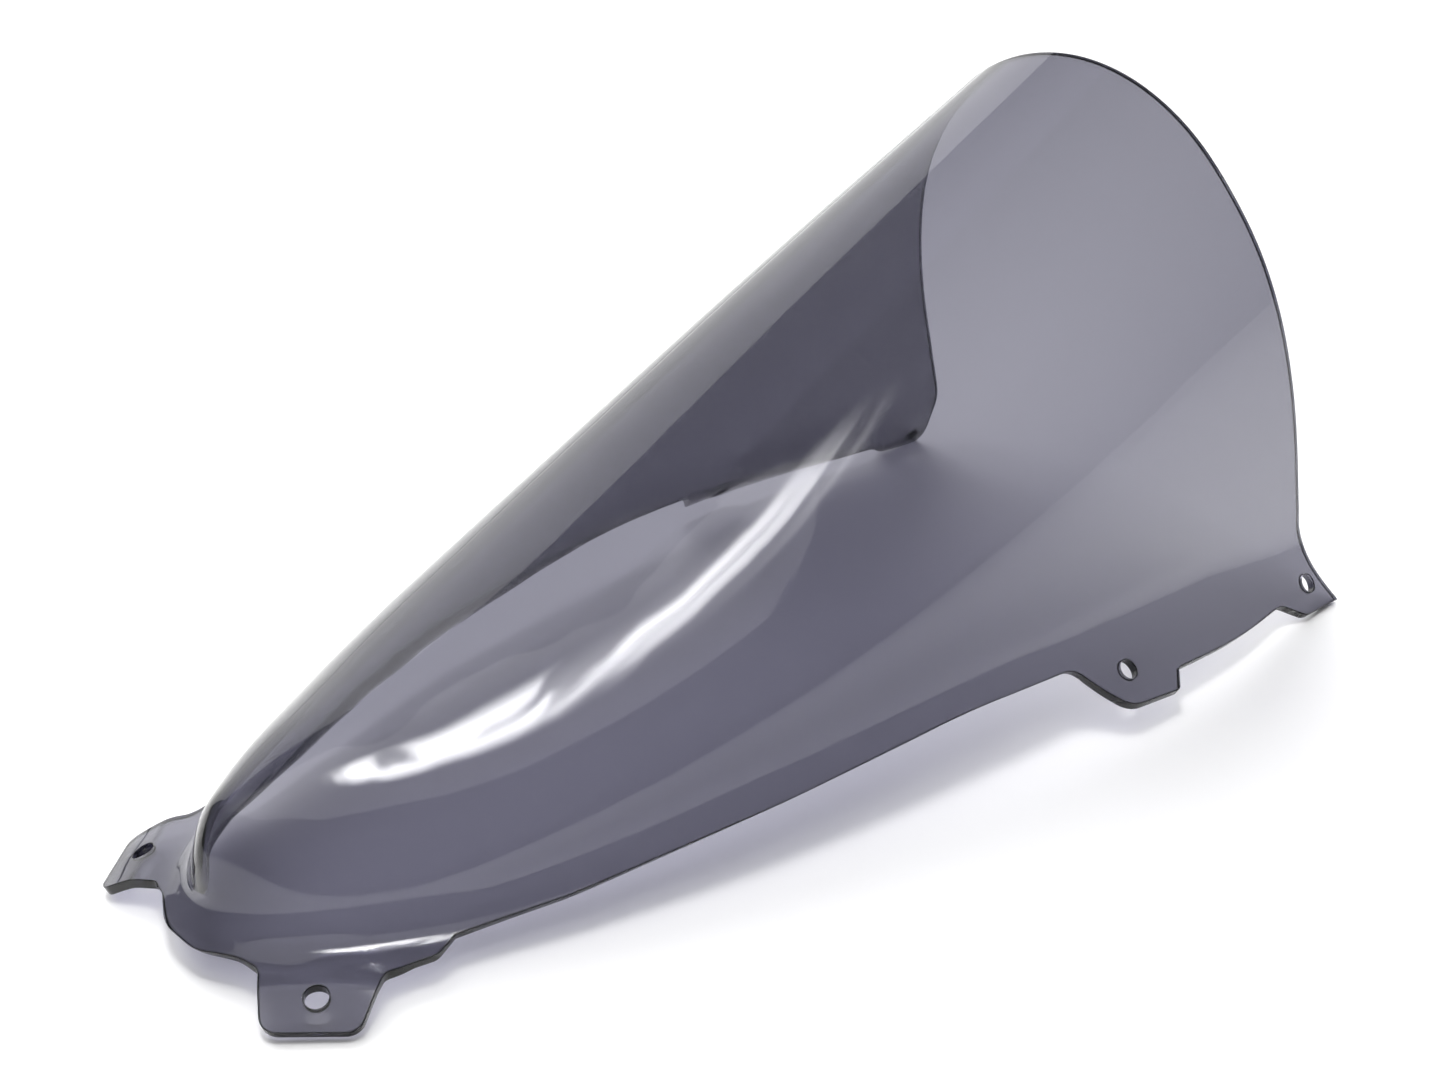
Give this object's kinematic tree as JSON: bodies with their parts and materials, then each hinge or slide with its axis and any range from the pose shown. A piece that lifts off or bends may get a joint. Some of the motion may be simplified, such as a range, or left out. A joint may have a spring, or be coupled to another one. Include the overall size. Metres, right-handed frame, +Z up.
{
  "type": "motorcycle windscreen",
  "caption": "Long, narrow light-smoke tinted windscreen with a rounded nose, an arched rear edge and pierced fixing tabs along its lower edge.",
  "frame": {"origin": "centre of the outline seen from above, on the surface the screen stands on", "axes": "+X across to the right side, +Y rearward from the nose to the arched edge, +Z up"},
  "size_m": [0.2138, 0.4025, 0.1843],
  "materials": {
    "tinted_acrylic": "glossy, light smoke, see-through"
  },
  "bodies": {
    "root": {"screen": "tinted_acrylic"}
  },
  "joints": []
}
